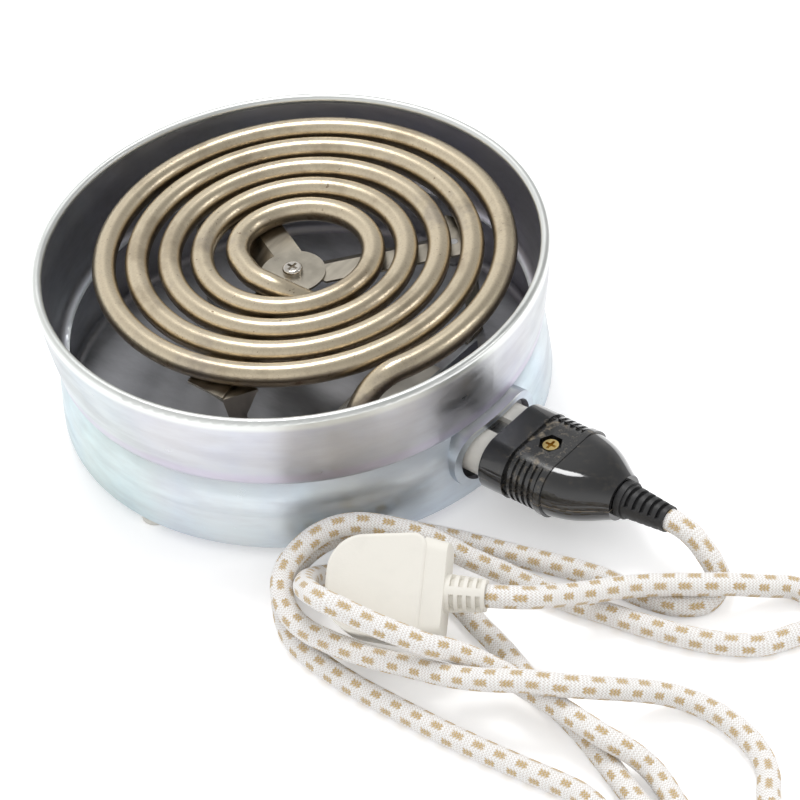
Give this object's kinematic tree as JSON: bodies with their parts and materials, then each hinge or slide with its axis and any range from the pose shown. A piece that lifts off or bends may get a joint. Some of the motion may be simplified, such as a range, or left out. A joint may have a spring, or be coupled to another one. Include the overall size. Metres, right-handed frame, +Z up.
{
  "type": "electric hotplate",
  "caption": "Round electric hotplate: steel drum with a flat spiral tubular heating coil on a three-armed bracket, and a braided mains lead that plugs into its side.",
  "frame": {"origin": "on the table under the centre of the drum", "axes": "+Z up through the drum's axis, +X out of the power inlet along the connector"},
  "size_m": [0.4167, 0.2516, 0.0713],
  "materials": {
    "boot_rubber": "matte black",
    "bracket_steel": "satin stainless, warm grey",
    "clamp_steel": "satin, warm grey",
    "coil_steel": "heat tinted, beige to tan",
    "connector_black": "moulded, glossy black",
    "cord_braid": "white braid with tan tick threads",
    "core_plastic": "insulated core",
    "drum_zinc": "zinc plated, streaked, pale blue with faint rainbow tints",
    "foot_plastic": "black, matte",
    "inlet_ceramic": "matte, cream",
    "inlet_plate_steel": "zinc plated",
    "insert_ceramic": "matte, grey cream",
    "lead_sleeve": "woven glass sleeve, off white",
    "nut_brass": "bright",
    "pin_steel": "polished nickel",
    "plug_plastic": "moulded, cream",
    "rivet_steel": "satin",
    "screw_steel": "bright",
    "seal_ceramic": "matte, white",
    "spring_steel": "satin",
    "terminal_steel": "satin"
  },
  "bodies": {
    "stove": {"base_plate": "drum_zinc", "bracket_rivets": "rivet_steel", "clamp_backing_plate": "clamp_steel", "clamp_nut": "screw_steel", "clamp_plate": "clamp_steel", "clamp_screw": "screw_steel", "coil_end_seals": "seal_ceramic", "coil_terminals": "terminal_steel", "drum_shell": "drum_zinc", "earth_tongue": "spring_steel", "foot_pads": "foot_plastic", "foot_rivets": "rivet_steel", "heating_coil": "coil_steel", "inlet_block": "inlet_ceramic", "inlet_pin_nuts": "nut_brass", "inlet_pins": "pin_steel", "inlet_plate": "inlet_plate_steel", "inlet_screw_nuts": "screw_steel", "inlet_screws": "screw_steel", "lead_inner": "lead_sleeve", "lead_outer": "lead_sleeve", "support_arm_front": "bracket_steel", "support_arm_left": "bracket_steel", "support_arm_right": "bracket_steel", "support_leg_front": "bracket_steel", "support_leg_left": "bracket_steel", "support_leg_right": "bracket_steel"},
    "cord_set": {"connector_cores": "core_plastic", "connector_earth_strip": "nut_brass", "connector_insert": "insert_ceramic", "connector_lower_shell": "connector_black", "connector_nut": "nut_brass", "connector_screw": "nut_brass", "connector_upper_shell": "connector_black", "contact_sleeves": "nut_brass", "cord": "cord_braid", "cord_boot": "boot_rubber", "plug_blades": "nut_brass", "plug_body": "plug_plastic", "plug_strain_relief": "plug_plastic"}
  },
  "joints": [
    {"name": "connector_pull", "type": "slide", "parent": "stove", "child": "cord_set", "axis": [1, 0, 0], "range_m": [0, 0.035]}
  ]
}
